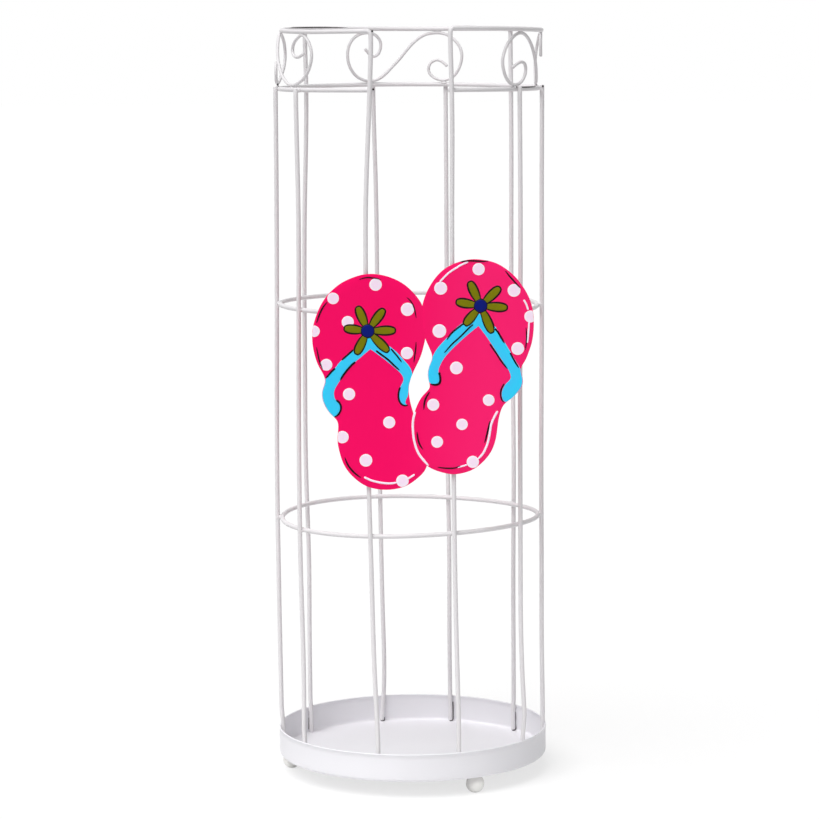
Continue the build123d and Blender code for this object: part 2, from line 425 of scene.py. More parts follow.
def leaning(path, offsets):
    # moved sideways by a smooth curve through the leans, then drawn in where it would meet the pan's wall
    curve = spline(np.stack([cage["leanHeights"], offsets], 1), cage["leanSteps"], False)
    moved = path.copy()
    moved[:, 0] += np.interp(path[:, 2], curve[:, 0], curve[:, 1])
    above = np.maximum(path[:, 2] - boxOf("drip_pan")[1][2], 0)
    return drawnIn(moved, panWall - wireRadius - cage["wallGap"] + cage["spread"] * above)


wirePaths = {}


def addWires():
    # straight up the middle of each solid, then leaning
    for node, offsets in cage["leans"].items():
        low, high = boxOf(node)
        x, y = (low[:2] + high[:2]) / 2
        top = high[2] - cage["topCut"][node.split("_")[-1]]
        heights = np.linspace(low[2] + cage["endLift"], top, cage["steps"])
        path = leaning(np.stack(np.broadcast_arrays(x, y, heights), -1), offsets)
        wirePaths[node] = path
        addPiece(node + "Tube", [tube(path, fromAxis(path), wireRadius, cage["sides"])], "wire", [node])


addWires()
print("upright wires made")

# the bent wire of the two front uprights and the open rim, its ring moved by mm at facing angles in degrees
rim = {
    "legAngle": 17.9,
    "bend": 4.0,
    "bendSteps": 9,
    "leftLean": (5.8, 5.6, 3.1, 1.5, -0.2, -1.1, -1.4, -1, 2.8, 4.5),
    "rightLean": (3.9, 3.9, 2.7, 1.4, 0.6, 0.4, 0.1, 0.2, 0.6, -0.4),
    "ringShift": ((-180, -90, -18, 18, 90, 180), (2.5, 4.4, 4.5, -0.2, 3.0, 2.5)),
    "ringLift": ((-180, -135, -112, -90, -50, -18, 18, 90, 135, 180),
                 (-0.8, 0.3, 0.5, -0.8, -1.6, -1.0, 1.5, -1.9, -1.0, -0.8)),
    "liftFrom": 560.0,     # height from which the legs take up the ring's lift
    "ringSteps": 200,
    "legSteps": 70,
}


def addRim():
    # leg up, quarter bend into the ring's tangent, the ring round the back, quarter bend and leg down
    low, high = boxOf("rim_wire")
    bend, legRadius = rim["bend"], boxOf("right_side_wire")[1][0] - wireRadius
    ringHeight, ringBack = high[2] - wireRadius, high[1] - wireRadius
    leg = around(legRadius, rim["legAngle"], 0.0)
    # the ring's middle lies where the leg is one bend length off its tangent point
    across, deep = leg[0], leg[1]
    middle = (across ** 2 + deep ** 2 - ringBack ** 2 - bend ** 2) / (2 * (deep - ringBack))
    radius = ringBack - middle
    start = np.degrees(np.arctan2(across, middle - deep) + np.arctan2(bend, radius))
    degrees = np.linspace(start, 360 - start, rim["ringSteps"])
    ring = around(radius, degrees, ringHeight) + (0, middle, 0)
    facing = (degrees + 180) % 360 - 180
    ring[:, 0] += np.interp(facing, *rim["ringShift"])
    ring[:, 2] += np.interp(facing, *rim["ringLift"])
    first = around(1.0, start + 90, 0.0)
    quarter = np.radians(np.linspace(0, 90, rim["bendSteps"])[1:-1])[:, None]
    climb = ringHeight - bend + bend * np.sin(quarter)
    corner = leg + (1 - np.cos(quarter)) * bend * first + climb * upward
    climb = np.linspace(low[2] + cage["endLift"], ringHeight - bend, rim["legSteps"])[:, None]
    straight = leg + climb * upward
    side = np.vstack([straight, corner])
    grown = np.clip((side[:, 2:] - rim["liftFrom"]) / (ringHeight - rim["liftFrom"]), 0, 1) * upward
    right = leaning(side, rim["rightLean"]) + grown * np.interp(start, *rim["ringLift"])
    left = leaning(side * (-1, 1, 1), rim["leftLean"]) + grown * np.interp(-start, *rim["ringLift"])
    path = np.vstack([right, ring, left[::-1]])
    wirePaths["right_leg"], wirePaths["left_leg"] = right, left
    shell = tube(path, fromAxis(path) - (0, middle, 0), wireRadius, cage["sides"])
    addPiece("rimTube", [shell], "wire", ["rim_wire"])
    return ring


rimRing = addRim()

# rings: how far each is bent out of true in mm, and half the band's opening in degrees
hoops = {
    "steps": 200,
    "upper_hoop": {"grow": 1.0, "shift": -0.4, "lift": 0.4, "tilt": -1.2,
                   "nod": 0.4, "pinch": 0.0, "saddle": -0.5},
    "lower_hoop": {"grow": 1.3, "shift": -0.4, "lift": 0.85, "tilt": 0.6,
                   "nod": 0.65, "pinch": 0.0, "saddle": 1.3},
    "band_ring": {"grow": 0.6, "shift": 1.2, "lift": -1.1, "tilt": -0.35,
                  "nod": 0.2, "pinch": 0.5, "saddle": 0.0},
    "bandOpening": 16.88,
}


def hoopPath(node, degrees):
    # circle pressed a little into the wires; its height drifts by a tilt to the right, a nod to the front,
    # a pinch of its sides and a saddle
    low, high = boxOf(node)
    bent = hoops[node]
    a = np.radians(degrees)
    height = (low[2] + high[2]) / 2 + bent["lift"] + bent["tilt"] * np.sin(a) + bent["nod"] * np.cos(a)
    height = height + bent["pinch"] * np.cos(2 * a) + bent["saddle"] * np.sin(2 * a)
    return around((high[0] - low[0]) / 2 - wireRadius + bent["grow"], degrees, height) + (bent["shift"], 0, 0)


def addHoops():
    # two closed rings and the open band
    for node in ("upper_hoop", "lower_hoop"):
        path = hoopPath(node, np.linspace(0, 360, hoops["steps"], endpoint=False))
        shell = tube(path, fromAxis(path), wireRadius, cage["sides"], True)
        addPiece(node + "Tube", [shell], "wire", [node])
    opening = hoops["bandOpening"]
    path = hoopPath("band_ring", np.linspace(opening, 360 - opening, hoops["steps"]))
    shell = tube(path, fromAxis(path), wireRadius, cage["sides"])
    addPiece("bandTube", [shell], "wire", ["band_ring"])
    return path


bandRing = addHoops()
print("rings made")

# S-scrolls bent by hand: bend radius, facing, sideways shift, the line in mm along the cylinder and above the
# middle as met from outside, and how far each of its points stands out of the cylinder
scrolls = {
    "radius": 1.4,
    "sides": 14,
    "steps": 260,
    "left_scroll": {
        "bend": 113.55, "facing": -72.4, "shift": 2.0,
        "line": [(37.6, 4.6), (31, 2.2), (24, 2.6), (20, 6), (20.2, 10.2), (24.1, 15), (30.6, 19),
                 (37, 20.6), (43, 17.3), (47.2, 11.5), (49.1, 4.2), (47.7, -3.5), (43.2, -11.3),
                 (36, -17.2), (26.2, -21), (15.1, -22), (2.5, -19), (-9.5, -13.2), (-18, -5.5),
                 (-23.5, 3), (-28, 11.5), (-33.5, 18), (-41, 21.2), (-52, 20), (-60.5, 14.5), (-64.4, 5),
                 (-62.8, -4), (-56, -12.6), (-46, -19), (-36, -21.6), (-28, -19), (-23.8, -12.5),
                 (-26, -6), (-32, -3.2), (-38, -6.5)],
        "out": [0] * 17 + [0.5, 1.4, 2, 1.6, 0.8, 0, 0, 0, 0, 0, 0.5, 1.2, 2.2, 3.2, 3.6, 3.4, 2.2, 0.4],
    },
    "right_scroll": {
        "bend": 113.55, "facing": 72.4, "shift": 2.0,
        "line": [(-44, -7.9), (-38.5, -5.2), (-31, -3.6), (-25, -5.4), (-23.2, -9.5), (-25, -14.8),
                 (-30.5, -19.8), (-37, -22.2), (-43, -22.4), (-49, -20.2), (-53.8, -14.8), (-56.8, -7),
                 (-57.1, -1), (-55.3, 4.8), (-50.9, 12), (-45, 16.9), (-38.1, 20.3), (-31.5, 21.1),
                 (-24.5, 19.7), (-16.8, 15.4), (-10, 9.8), (-2.2, 1.8), (4.5, -6), (11, -13.5),
                 (18.5, -19.5), (28, -22.2), (39, -21.4), (48, -15.8), (54, -7), (55.5, 2), (52.5, 11),
                 (45.5, 18), (37, 21), (29, 19.6), (24, 14), (23.8, 7), (27.5, 1)],
        "out": [0] * 21 + [-0.3, -0.8, -1.6, -2.5, -3.3, -3.3, -2.5, -1.4, -0.4, 0.4, 0.8, 1, 1, 1, 1, 1],
    },
    "back_scroll": {
        "bend": 111.9, "facing": 181.5, "shift": 1.8,
        "line": [(37.2, 6.3), (34.2, 2.9), (30, -0.3), (26, 0.8), (23.2, 5.3), (22.6, 12), (25.5, 17.3),
                 (31.4, 20.6), (40.3, 20.3), (48.6, 16.1), (54, 7.3), (54.8, -1), (51.7, -11),
                 (44.5, -19), (36, -22.2), (28.3, -22), (21.5, -18.8), (12.7, -10.7), (4.1, -1.6),
                 (-2.7, 6.7), (-9.4, 13.4), (-17.9, 18.7), (-26.4, 20.4), (-35.9, 19.7), (-43.8, 15.7),
                 (-50.1, 9), (-52.8, 1.5), (-51.8, -6.8), (-48.2, -14.6), (-42.8, -19.8), (-35.7, -22.1),
                 (-28.8, -21), (-22.8, -16.8), (-21.1, -11.8), (-23.2, -6.8), (-28.9, -4), (-33.2, -5.1),
                 (-38.4, -9.3)],
        "out": [0] * 38,
    },
}
scrollPaths = {}


def addScrolls():
    # smooth line through the bent wire's points, wrapped round the cylinder
    for node in ("left_scroll", "right_scroll", "back_scroll"):
        bent = scrolls[node]
        low, high = boxOf(node)
        flat = spline(np.column_stack([bent["line"], bent["out"]]), scrolls["steps"], False)
        degrees = bent["facing"] + np.degrees(flat[:, 0] / bent["bend"])
        height = (low[2] + high[2]) / 2 + flat[:, 1]
        path = around(bent["bend"] + flat[:, 2], degrees, height) + (bent["shift"], 0, 0)
        scrollPaths[node] = path
        shell = tube(path, fromAxis(path), scrolls["radius"], scrolls["sides"])
        addPiece(node + "Tube", [shell], "wire", [node])


addScrolls()
print("scrolls made")


def spun(profile, columns, ripple=0.0):
    # profile of radius and height turned about the upright axis, its radius rippled in waves around
    turn = np.linspace(0, 360, columns, endpoint=False)
    swing = [share * np.sin(np.radians(count * turn + start)) for count, start, share in pan["waves"]]
    return around(profile[:, :1] * (1 + ripple * sum(swing)), turn[None, :], profile[:, 1:])


def addPan():
    # floor, rounded corner and wall outside, rolled edge, then the same inside
    low, high = boxOf("drip_pan")
    outer, thick, corner, hem = high[0], pan["thickness"], pan["corner"], pan["hem"]
    quarter = np.radians(np.linspace(-90, 0, pan["cornerSteps"]))[:, None]
    side = np.hstack([np.cos(quarter), np.sin(quarter)])
    outside = (outer - corner, low[2] + corner) + corner * side
    inside = (outer - corner, low[2] + corner) + (corner - thick) * side
    roll = np.radians(np.linspace(*pan["roll"], pan["rollSteps"]))[:, None]
    edge = hem * np.hstack([np.cos(roll), np.sin(roll)])
    edge = (outer - thick / 2 - pan["hemInset"], high[2] - hem) + edge
    flat = np.linspace(pan["cap"], outer - corner, pan["floorSteps"])[:-1, None]
    floorOut = np.hstack([flat, np.full_like(flat, low[2])])
    floorIn = np.hstack([flat, np.full_like(flat, low[2] + thick)])
    climb = np.linspace(0, 1, pan["wallSteps"])[1:-1, None]
    wallOut = outside[-1] + climb * (edge[0] - outside[-1])
    wallIn = inside[-1] + climb * (edge[-1] - inside[-1])
    profile = np.vstack([floorOut, outside, wallOut, edge, wallIn[::-1], inside[::-1], floorIn[::-1]])
    points = spun(profile, pan["around"], pan["ripple"] / outer) + pan["shift"]
    addPiece("panBody", [capped(points)], "pan", ["drip_pan"])


addPan()

# ball feet
feet = {
    "around": 48,
    "rows": 30,
    "cut": 0.4,               # mm that the ball is flattened at the floor
    "ends": (0.32, 0.42),     # radians of the ball left out below and above
    "shifts": {"left_foot": 0.8, "front_right_foot": -0.7, "back_right_foot": 0.0},     # mm sideways
}


def addFeet():
    # ball cut flat where it meets the floor and the pan
    below, above = feet["ends"]
    for node, shift in feet["shifts"].items():
        low, high = boxOf(node)
        x, y = (low[:2] + high[:2]) / 2
        radius = (high[0] - low[0]) / 2
        centre = low[2] + radius - feet["cut"]
        height = centre - radius * np.cos(np.linspace(below, np.pi - above, feet["rows"]))
        height = np.clip(height, low[2], high[2])
        profile = np.stack([np.sqrt(radius ** 2 - (height - centre) ** 2), height], 1)
        points = spun(profile, feet["around"]) + (x + shift, y, 0)
        addPiece(node + "Ball", [capped(points)], "ball", [node])


addFeet()
print("pan and feet made")

# weld beads: radii across, outward and up in mm
welds = {
    "crossing": (2.5, 1.8, 2.2),
    "panSeam": (2.2, 1.3, 2.6),
    "seamHeight": 36.0,
    "bandAt": 90.0,           # facing angle at which the band's height is taken for the scrolls
    "seamInset": 0.6,         # mm from the pan's wall to the middle of its seams
    "scrollSpot": (3.6, 1.6, 1.5),
    "scrollReach": 6.0,       # mm from a ring within which a scroll's turn is welded to it
    "scrollGap": 0.3,         # mm from a ring's surface to the middle of the bead
    "panelSpot": (2.6, 1.8, 4.0),
    "panelHeights": (322.0, 372.0, 436.0),
    "panelGap": 0.7,          # mm from the panel's back to the middle of the bead
    "rimDrop": 1.6,
    "rows": 7,
    "columns": 12,
    "tilt": 75,               # degrees up and down from the middle at which a bead is capped
}


def beads(places, radii):
    # a ball for each place, stretched by its radii along the ring, outward and up, with flat cuts at its ends
    tilt = np.radians(np.linspace(-welds["tilt"], welds["tilt"], welds["rows"]))[:, None, None]
    ring = circle(welds["columns"])
    across, outward, up = np.cos(tilt) * ring[:, :1], np.cos(tilt) * ring[:, 1:], np.sin(tilt)
    shells = []
    for place in np.atleast_2d(places):
        out = unit(fromAxis(place))
        side = np.cross(upward, out)
        bead = radii[0] * across * side + radii[1] * outward * out + radii[2] * up * upward
        shells.append(capped(place + bead))
    return shells


def addWelds():
    # beads at the crossings of wires and rings, at the pan's wall, under the rim, at the scrolls' turns and
    # behind the panel
    shells = []
    for name, path in wirePaths.items():
        degrees = np.degrees(np.arctan2(path[:, 0].mean(), -path[:, 1].mean()))
        for node in ("upper_hoop", "lower_hoop", "band_ring"):
            onRing = hoopPath(node, np.array([degrees]))[0]
            spot = (onRing + atHeight(path, onRing[2])) / 2
            spot[2] = onRing[2]
            shells += beads(spot, welds["crossing"])
        foot = atHeight(path, welds["seamHeight"])
        away = unit(fromAxis(foot - pan["shift"]))
        seam = pan["shift"] + away * (panWall - welds["seamInset"]) + foot * upward
        shells += beads(seam, welds["panSeam"])
        if name.endswith("upright"):
            top = fromAxis(path[-1]) + (0, 0, rimRing[0, 2])
            near = rimRing[np.argmin(np.linalg.norm(rimRing - top, axis=1))]
            shells += beads((top + near) / 2 - (0, 0, welds["rimDrop"]), welds["crossing"])
    bandHeight = hoopPath("band_ring", np.array([welds["bandAt"]]))[0, 2]
    rimHeight = rimRing[:, 2].mean()
    reach, gap = welds["scrollReach"], wireRadius + welds["scrollGap"]
    for path in scrollPaths.values():
        climb = np.diff(path[:, 2])
        for place in path[1:-1][climb[:-1] * climb[1:] <= 0]:
            if place[2] > rimHeight - reach:
                shells += beads(fromAxis(place) + (0, 0, rimHeight - gap), welds["scrollSpot"])
            if place[2] < bandHeight + reach:
                shells += beads(fromAxis(place) + (0, 0, bandHeight + gap), welds["scrollSpot"])
    panelBack = boxOf("sandal_panel")[1][1]
    for name in ("left_leg", "right_leg"):
        for height in welds["panelHeights"]:
            x = atHeight(wirePaths[name], height)[0]
            shells += beads((x, panelBack + welds["panelGap"], height), welds["panelSpot"])
    addPiece("weldBeads", shells, "wire")


addWelds()
print("welds made")

# painted shade in a dark coat: lines in the gaps beside the wires that curl under their ends, spots at
# welds and streaks along two rings, dark where there is only shade
paintedShadeMarks = {
    # mm sideways, back and up from the wire's end
    "seam": [(2.3, 0.9, 17.5), (2.4, 0.8, 10), (2.3, 0.6, 3)],
    "hook": [(1.7, -1.0, 0.5), (0.6, -1.85, 0.15), (-0.7, -1.85, 0.1)],
    # wires with a line of painted shade in the gap between them and the pan's wall
    "wires": {
        "back_right_wire": {"radius": 0.42, "length": 1.0, "side": 1, "hooked": True},
        "back_right_upright": {"radius": 0.62, "length": 0.95, "side": 1, "hooked": True},
        "back_left_upright": {"radius": 0.45, "length": 0.75, "side": -1, "hooked": False},
        "back_left_wire": {"radius": 0.4, "length": 0.15, "side": 1, "hooked": True},
    },
    # spots of painted shade at welds
    "shadeSpots": [(92.4, -70.5, 609.4), (118.3, -2.5, 608.4), (-30.0, -112.6, 657.9), (-29.6, -110.5, 609.3),
             (-113.4, -3.0, 611.6)],
    "shadeSpotSize": (0.9, 0.8, 0.9),
    # painted shade streaks: between two facing angles of a ring, a step outward and up from its middle line
    "streaks": [
        {"ring": "rim", "between": (-158, -99), "step": (-1.1, 0.8), "radius": 0.85},
        {"ring": "band", "between": (52, 76), "step": (0.9, 1.2), "radius": 0.9},
    ],
    "taper": {"from": 0.04, "power": 0.35},     # how the streaks thin out: start of the arch, and its power
    "turnedTo": (0, -1, 0.1),                   # one way that the sections of all the painted shade marks are turned to
    "steps": 24,
    "sides": 8,
}


def addPaintedShade():
    # painted shade: a thin round along the seam and its hook, held back at the wall of the pan; small beads;
    # and rounds along the rings, thinned by an arch of the sine
    shells = []
    for node, mark in paintedShadeMarks["wires"].items():
        steps = paintedShadeMarks["seam"] + (paintedShadeMarks["hook"] if mark["hooked"] else [])
        line = wirePaths[node][0] + np.array(steps) * (mark["side"], 1, mark["length"])
        path = spline(drawnIn(line, panWall), paintedShadeMarks["steps"], False)
        outward = np.broadcast_to(paintedShadeMarks["turnedTo"], path.shape)
        shells.append(tube(path, outward, mark["radius"], paintedShadeMarks["sides"]))
    shells += beads(paintedShadeMarks["shadeSpots"], paintedShadeMarks["shadeSpotSize"])
    rings = {"rim": rimRing, "band": bandRing}
    arch = paintedShadeMarks["taper"]
    for streak in paintedShadeMarks["streaks"]:
        ring, (first, last), (outward, up) = rings[streak["ring"]], streak["between"], streak["step"]
        facing = np.degrees(np.arctan2(ring[:, 0], -ring[:, 1]))
        # the arc of the ring that takes the painted shade streak
        shadedArc = ring[(facing > first) & (facing < last)]
        shadedArc = shadedArc + outward * unit(fromAxis(shadedArc)) + up * upward
        taper = np.sin(np.pi * np.linspace(arch["from"], 1 - arch["from"], len(shadedArc))) ** arch["power"]
        shells.append(tube(shadedArc, fromAxis(shadedArc), streak["radius"] * taper, paintedShadeMarks["sides"]))
    addPiece("paintedShadeMarks", shells, "paintedShade")


addPaintedShade()

# the flat cut-out: outlines in mm, x and height above the upper hoop
soles = {
    "left": [
        (-33, 36.9), (-42.1, 35.8), (-50.5, 33), (-58.5, 29), (-65.5, 23.5), (-71.5, 17), (-76.3, 9.3),
        (-79.8, 1), (-82.2, -7.3), (-83.1, -16.1), (-82.5, -24.9), (-80.7, -33.4), (-77.7, -41.5),
        (-73.9, -48.5), (-72.6, -54), (-74.6, -61), (-75.1, -68), (-72.6, -75.6), (-67.5, -82.8),
        (-62.6, -88.3), (-61.9, -96), (-62.4, -106), (-60.7, -115.5), (-57.7, -124.8), (-52.8, -132.7),
        (-46.3, -139.2), (-38.7, -144.2), (-30, -146.9), (-20.9, -147.7), (-11.7, -146.7),
        (-2.8, -143.6), (5.4, -137.9), (12, -130.6), (14, -118), (7.5, -97), (1.6, -80), (-1.2, -68),
        (-1.6, -61), (0.3, -52.2), (3.4, -44.7), (8, -35.2), (11.5, -24), (13.6, -10), (12.4, 2),
        (9.8, 11), (5.8, 17.2), (0.2, 23.5), (-7.3, 29.4), (-15.4, 33.4), (-24.2, 36)],
    "right": [
        (52.3, 48.6), (41.4, 46.4), (30.9, 41.7), (22, 33.6), (16.1, 24.8), (11.9, 15.3), (9.6, 4),
        (10.2, -8), (13, -19), (16.4, -27), (18.4, -34.5), (16.3, -41), (14.7, -48), (15.4, -54.6),
        (16.2, -59.6), (11.6, -65.7), (6.3, -73.5), (2.8, -83), (1.5, -94), (3.3, -107), (7, -117),
        (12.6, -126.4), (19.6, -130.8), (27.8, -133.5), (36.2, -134.8), (44, -133.8), (52, -131.1),
        (58.6, -126.6), (64.5, -120.7), (69, -113.8), (71.8, -106), (73.3, -97.6), (74.3, -89.8),
        (76.2, -81.5), (79.2, -75.4), (84, -71.2), (90.6, -65.2), (94.9, -58.5), (94.8, -51),
        (93.6, -45.6), (97.2, -38), (100.2, -31), (102.5, -24.3), (104.3, -14.4), (104.7, -4.1),
        (103.6, 6.4), (100.6, 16.1), (95.6, 25.1), (89.4, 33.2), (81.7, 40), (72.9, 45.2), (62.8, 47.9)],
    "middles": {"left": (-35, -55), "right": (48, -45)},
    "count": 300,
    "edge": 0.3,                              # radius of the round at the edge
    "edgeTurns": (30.0, 60.0, 90.0),
    "shrink": (0.08, 0.3, 0.6, 0.9, 1.0),     # shares of the outline that the rings of both faces have
    "overlap": 0.02,     # mm that the right sole stands before the left, so that its face covers it
}
panelLow, panelHigh = boxOf("sandal_panel")
hoopHeight = (boxOf("upper_hoop")[0][2] + boxOf("upper_hoop")[1][2]) / 2
outlines = {side: spline(soles[side], soles["count"], True) + (0, hoopHeight) for side in ("left", "right")}
faces = {"left": panelLow[1], "right": panelLow[1] - soles["overlap"]}
backs = {"left": panelHigh[1], "right": panelHigh[1] - soles["overlap"]}


def outlineNormals(side):
    # the outline's own direction turned a quarter, pointing away from the middle
    line = outlines[side]
    ahead = np.roll(line, -1, 0) - np.roll(line, 1, 0)
    normal = unit(np.stack([ahead[:, 1], -ahead[:, 0]], 1))
    outward = ((line - soles["middles"][side] - (0, hoopHeight)) * normal).sum()
    return normal * np.sign(outward)


def plate(side):
    # rings shrink from the outline to the middle on both faces, with a small round at the edge
    line, edge, normal = outlines[side], soles["edge"], outlineNormals(side)
    middle = np.array(soles["middles"][side]) + (0, hoopHeight)
    front, back = faces[side], backs[side]
    inner = line - edge * normal
    shrink, quarter = soles["shrink"], np.radians(soles["edgeTurns"])
    rings = [(middle + k * (inner - middle), front) for k in shrink]
    rings += [(inner + edge * np.sin(q) * normal, front + edge * (1 - np.cos(q))) for q in quarter]
    rings += [(inner + edge * np.sin(q) * normal, back - edge * (1 - np.cos(q))) for q in quarter[::-1]]
    rings += [(middle + k * (inner - middle), back) for k in shrink[::-1]]
    points = [np.insert(flat, 1, depth, axis=1) for flat, depth in rings]
    return capped(np.stack(points))


plates = [plate("left"), plate("right")]
addPiece("solePlates", plates, "pink", ["sandal_panel"])


def film(flat, lift, front, wrap, caps=(), shade=None):
    # a thin layer of paint: a flat grid of x and height, raised off the plate by its lift
    depth = np.broadcast_to(front - lift, flat.shape[:2])
    return gridShell(np.stack([flat[..., 0], depth, flat[..., 1]], -1), False, wrap, caps, shade)


# polka dots: x, height and radius in mm
dots = {
    "lift": 0.1,
    "around": 36,
    "margin": 0.25,                             # mm kept to the outline of the sole
    "rings": (0.3, 0.7, 0.88, 0.96, 1.0),       # shares of the radius
    "heights": (1.0, 1.0, 1.0, 0.75, -0.4),     # shares of the lift at those rings
    "shade": (1, -1, 3),                        # in the middle, change to the edge, and its power
    "left": [(-29, 445.3, 5.3), (-65, 433.9, 5), (-81.5, 406.1, 4.98), (-52.8, 413.7, 5.21),
             (-2.2, 424.1, 5.7), (-71.3, 377.5, 5.08), (-2.9, 386.9, 5.25), (-52.3, 352.2, 5.26),
             (-18.4, 327.8, 5.19), (-58.3, 315.5, 5.36), (-38.5, 295.4, 5.51), (-7.5, 277.5, 5.42)],
    "right": [(58.1, 457.7, 5.22), (26, 441.8, 5.54), (88, 439.5, 5.5), (101.8, 417.2, 5.2),
              (24.7, 405.5, 5.84), (91, 390, 5.5), (38.9, 373.9, 5.46), (19.1, 342.6, 5.19),
              (66.2, 346.2, 4.99), (43.5, 325.6, 4.91), (22.2, 310.7, 5.08), (52.5, 293.3, 5.31)],
}


def disc(centre, reach, settings, lift, front):
    # rings about the centre, each its share of the reach, which is one distance or one for each way round
    rings, heights = np.array(settings["rings"])[:, None], np.array(settings["heights"])[:, None]
    middle, change, power = settings["shade"]
    flat = centre + (rings * reach)[..., None] * circle(settings["around"])
    return film(flat, lift * heights, front, True, (0,), middle + change * rings ** power)


def clippedRadius(centres, ways, line, radii):
    # distance from each centre along each way to the outline, no more than the dot's radius
    start = line[None, None] - centres[:, None, None]
    run = (np.roll(line, -1, 0) - line)[None, None]
    way = ways[None, :, None]
    cross = way[..., 0] * run[..., 1] - way[..., 1] * run[..., 0]
    tiny = 1e-9     # stands for nought where the way runs along the outline
    cross = np.where(abs(cross) < tiny, tiny, cross)
    far = (start[..., 0] * run[..., 1] - start[..., 1] * run[..., 0]) / cross
    share = (start[..., 0] * way[..., 1] - start[..., 1] * way[..., 0]) / cross
    hit = np.where((far > 0) & (share >= 0) & (share <= 1), far, np.inf)
    return np.minimum(hit.min(-1) - dots["margin"], radii)


def addDots():
    # discs about the centres, cut off at the outline
    shells = []
    for side in ("left", "right"):
        centres, radii = np.split(np.array(dots[side]), [2], 1)
        reaches = clippedRadius(centres, circle(dots["around"]), outlines[side], radii)
        shells += [disc(centre, reach, dots, dots["lift"], faces[side])
                   for centre, reach in zip(centres, reaches)]
    addPiece("polkaDots", shells, "dot")


addDots()

# straps: outer and inner edge of each arm, meeting at the arm's end
straps = {
    "lift": 0.14,
    "margin": 0.05,     # mm kept to the outline of the sole
    "along": 80,
    "across": 9,
    "left": [
        [[(-33, 401.6), (-40.5, 398), (-48.2, 390.4), (-52.6, 387), (-55.7, 384.3), (-58.6, 381.4),
          (-61.3, 378.6), (-63.7, 375.4), (-72.1, 366.4), (-74.6, 359.4), (-75.7, 352.8), (-74.3, 345.8),
          (-71, 338.3), (-66.3, 332.6), (-62.3, 335.1)],
         [(-32.2, 391.6), (-40.3, 384.7), (-46.4, 379.6), (-52.5, 374), (-56.4, 368.7), (-60, 362.9),
          (-63.4, 357.7), (-64.7, 353.5), (-64.2, 349.6), (-63, 347.1), (-60, 343.2), (-60, 338.7),
          (-62.3, 335.1)]],
        [[(-35.4, 401.6), (-17.3, 393.1), (-9.4, 386.1), (-4.5, 380.5), (-1.2, 376.6), (1.1, 372.2),
          (1.8, 368.8), (0.4, 363.8), (-0.9, 357.7), (-1.7, 353.3), (-2.3, 350.2), (-4, 346.9),
          (-4.4, 344.4), (-3, 342.3)],
         [(-36, 391.6), (-25.4, 383.8), (-17.7, 377.6), (-10.6, 371.4), (-7.3, 367.5), (-6.3, 364.7),
          (-7.6, 360.6), (-9.3, 357), (-10.2, 352), (-9.2, 346.4), (-6.4, 342.9), (-3, 342.3)]],
    ],
    "right": [
        [[(59.6, 421), (44.9, 413), (37.9, 407.7), (31, 400.2), (24.7, 393.5), (19.6, 386.2),
          (17.2, 380.4), (14.5, 372.3), (13.9, 367.2), (15.8, 361.4), (20.5, 359.6)],
         [(59.8, 410.6), (47.4, 400.5), (37.1, 391.1), (29.8, 383.2), (25.5, 376.3), (24, 370),
          (25, 364.2), (23.4, 360.6), (20.5, 359.6)]],
        [[(57.4, 421), (71.5, 410), (80.2, 396), (84.9, 387.9), (90.4, 378.3), (93.8, 372.4),
          (95.9, 366.5), (95.6, 359.9), (93.3, 354.1), (80.6, 344.3)],
         [(56.4, 411), (64.9, 399.1), (72.1, 388), (79.4, 376.9), (83.9, 369.2), (84.6, 365),
          (80.3, 359.9), (77.9, 356), (76.9, 352.2), (77.3, 348.4), (78.4, 345.9), (80.6, 344.3)]],
    ],
}

# how paint runs down to the plate: power and depth of its fall at the sides, length of the ramp at its ends
# as a share, and how deep that goes
filmEdge = {"power": 10, "bandDrop": 1.35, "petalDrop": 1.3, "ramp": 0.02, "sink": 0.3}


def crowned(across, nearEnd, drop):
    # full height in the middle, a high power of the distance across at the sides, a straight ramp at the ends
    ramp = np.minimum(nearEnd / filmEdge["ramp"], 1.0) * (1 + filmEdge["sink"]) - filmEdge["sink"]
    return np.minimum(1.0 - drop * abs(across) ** filmEdge["power"], ramp)


def band(first, second, lift, front, across):
    # grid between two edge lines, crowned across and run down to the plate round its border
    t = np.linspace(0, 1, across)[None, :, None]
    flat = first[:, None] * (1 - t) + second[:, None] * t
    s, t = np.linspace(0, 1, len(first))[:, None], t[..., 0]
    height = lift * crowned(2 * t - 1, np.minimum(s, 1 - s), filmEdge["bandDrop"])
    return film(flat, height, front, False, (), t + 0 * s)


def heldIn(edge, side):
    # points past the outline are drawn back to it along its nearest normal
    line, normal = outlines[side], outlineNormals(side)
    near = np.argmin(((edge[:, None] - line[None]) ** 2).sum(-1), 1)
    past = ((edge - line[near]) * normal[near]).sum(1, keepdims=True) + straps["margin"]
    return edge - np.maximum(past, 0) * normal[near]


def addStraps():
    # each arm a band between its two edges
    shells = []
    for side in ("left", "right"):
        for arm in straps[side]:
            edges = [heldIn(spline(line, straps["along"], False), side) for line in arm]
            shells.append(band(*edges, straps["lift"], faces[side], straps["across"]))
    addPiece("straps", shells, "strap")


addStraps()

